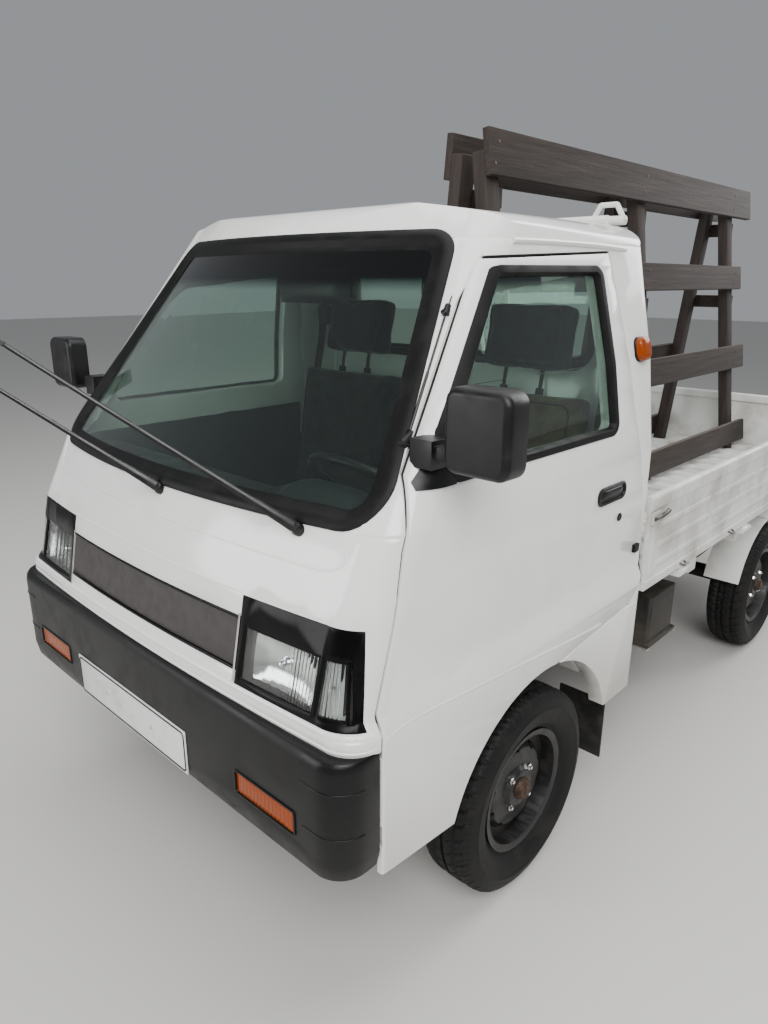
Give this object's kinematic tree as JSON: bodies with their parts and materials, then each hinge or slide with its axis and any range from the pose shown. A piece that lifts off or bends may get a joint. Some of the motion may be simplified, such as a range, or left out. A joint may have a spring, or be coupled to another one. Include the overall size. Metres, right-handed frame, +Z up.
{
  "type": "kei truck",
  "caption": "Cab-over mini truck with opening doors, drop-down bed sides and tailgate, steered front wheels, lifted wipers and a wooden A-frame rack standing on the bed.",
  "frame": {"origin": "on the ground, under the middle of the truck's overall box", "axes": "+X to the truck's left, +Y towards its rear, +Z up"},
  "size_m": [1.696, 3.83, 1.9629],
  "materials": {
    "body_paint": "white enamel, lightly dirty",
    "glass": "green-tinted safety glass",
    "lamp_glass": "clear fluted lamp glass",
    "amber_lens": "moulded amber lens",
    "red_lens": "moulded red lens",
    "grille_plastic": "weathered brown-black plastic",
    "lamp_surround": "glossy black plastic",
    "bumper_plastic": "black moulded plastic with a fine grain",
    "plate_sheet": "blank reflective sheet",
    "dash_plastic": "dark grained plastic",
    "seat_cloth": "black woven cloth",
    "frame_paint": "black chassis paint, dusty",
    "engine_metal": "cast, oily",
    "spring_steel": "dark spring steel",
    "exhaust_steel": "heat-stained steel",
    "tank_paint": "black tank paint",
    "flap_rubber": "black rubber sheet",
    "tyre_rubber": "tread and wall rubber, dusty",
    "rim_paint": "black pressed steel, dusty",
    "bed_paint": "white bed paint, scuffed and dirty",
    "mirror_plastic": "black moulded housing",
    "wiper_black": "black painted arm and rubber",
    "old_wood": "weathered dark timber"
  },
  "bodies": {
    "root": {"cab_front_panel": "body_paint", "cab_sides": "body_paint", "cab_rear_wall": "body_paint", "cab_roof": "body_paint", "cab_floor": "body_paint", "front_wheel_arches": "body_paint", "bed_runners": "bed_paint", "cab_glass": "glass", "grille_panel": "grille_plastic", "headlamp_bezels": "lamp_surround", "headlamps": "lamp_glass", "front_bumper": "bumper_plastic", "amber_lamps": "amber_lens", "number_plates": "plate_sheet", "dashboard": "dash_plastic", "seat_cushions": "seat_cloth", "seat_backs": "seat_cloth", "chassis_frame": "frame_paint", "engine_block": "engine_metal", "front_suspension": "frame_paint", "rear_axle": "frame_paint", "rear_springs": "spring_steel", "propshaft": "frame_paint", "exhaust": "exhaust_steel", "fuel_tank": "tank_paint", "battery_box": "tank_paint", "mud_flaps": "flap_rubber", "bed_floor": "bed_paint", "bed_sills": "bed_paint", "rear_wheel_arches": "bed_paint", "headboard": "bed_paint", "tail_lamps": "red_lens", "wipers": "wiper_black", "rack_legs": "old_wood", "rack_planks": "old_wood", "rack_ties": "old_wood"},
    "steering_wheel": {"steering_wheel": "dash_plastic"},
    "tailgate": {"tailgate": "bed_paint"},
    "left_door": {"left_door": "body_paint", "left_door_glass": "glass", "left_door_mirror": "mirror_plastic"},
    "left_gate": {"left_gate": "bed_paint"},
    "left_knuckle": {"left_knuckle": "frame_paint"},
    "front_left_wheel": {"front_left_rim": "rim_paint", "front_left_tyre": "tyre_rubber"},
    "rear_left_wheel": {"rear_left_rim": "rim_paint", "rear_left_tyre": "tyre_rubber"},
    "right_door": {"right_door": "body_paint", "right_door_glass": "glass", "right_door_mirror": "mirror_plastic"},
    "right_gate": {"right_gate": "bed_paint"},
    "right_knuckle": {"right_knuckle": "frame_paint"},
    "front_right_wheel": {"front_right_rim": "rim_paint", "front_right_tyre": "tyre_rubber"},
    "rear_right_wheel": {"rear_right_rim": "rim_paint", "rear_right_tyre": "tyre_rubber"}
  },
  "joints": [
    {"name": "steering", "type": "hinge", "parent": "root", "child": "steering_wheel", "pos_m": [0.33, -1.126, 1.03], "axis": [0, 0.6157, 0.788], "range_deg": [-540, 540]},
    {"name": "tailgate_hinge", "type": "hinge", "parent": "root", "child": "tailgate", "pos_m": [0, 1.861, 0.65], "axis": [-1, 0, 0], "range_deg": [0, 180]},
    {"name": "left_door_hinge", "type": "hinge", "parent": "root", "child": "left_door", "pos_m": [0.684, -1.494, 0.6], "axis": [0, 0, -1], "range_deg": [0, 65]},
    {"name": "left_gate_hinge", "type": "hinge", "parent": "root", "child": "left_gate", "pos_m": [0.697, 0.721, 0.65], "axis": [0, 1, 0], "range_deg": [0, 180]},
    {"name": "left_kingpin", "type": "hinge", "parent": "root", "child": "left_knuckle", "pos_m": [0.545, -0.944, 0.272], "axis": [0, 0, 1], "range_deg": [-34.1, 34.1]},
    {"name": "front_left_roll", "type": "hinge", "parent": "left_knuckle", "child": "front_left_wheel", "pos_m": [0.61, -0.944, 0.272], "axis": [1, 0, 0], "continuous": true},
    {"name": "rear_left_roll", "type": "hinge", "parent": "root", "child": "rear_left_wheel", "pos_m": [0.605, 0.896, 0.272], "axis": [1, 0, 0], "continuous": true},
    {"name": "right_door_hinge", "type": "hinge", "parent": "root", "child": "right_door", "pos_m": [-0.684, -1.494, 0.6], "axis": [0, 0, 1], "range_deg": [0, 65]},
    {"name": "right_gate_hinge", "type": "hinge", "parent": "root", "child": "right_gate", "pos_m": [-0.697, 0.721, 0.65], "axis": [0, -1, 0], "range_deg": [0, 180]},
    {"name": "right_kingpin", "type": "hinge", "parent": "root", "child": "right_knuckle", "pos_m": [-0.545, -0.944, 0.272], "axis": [0, 0, 1], "range_deg": [-34.1, 34.1]},
    {"name": "front_right_roll", "type": "hinge", "parent": "right_knuckle", "child": "front_right_wheel", "pos_m": [-0.61, -0.944, 0.272], "axis": [1, 0, 0], "continuous": true},
    {"name": "rear_right_roll", "type": "hinge", "parent": "root", "child": "rear_right_wheel", "pos_m": [-0.605, 0.896, 0.272], "axis": [1, 0, 0], "continuous": true}
  ],
  "couplings": [
    {"joint": "left_kingpin", "follows": "steering", "ratio": 0.063},
    {"joint": "right_kingpin", "follows": "steering", "ratio": 0.063}
  ]
}
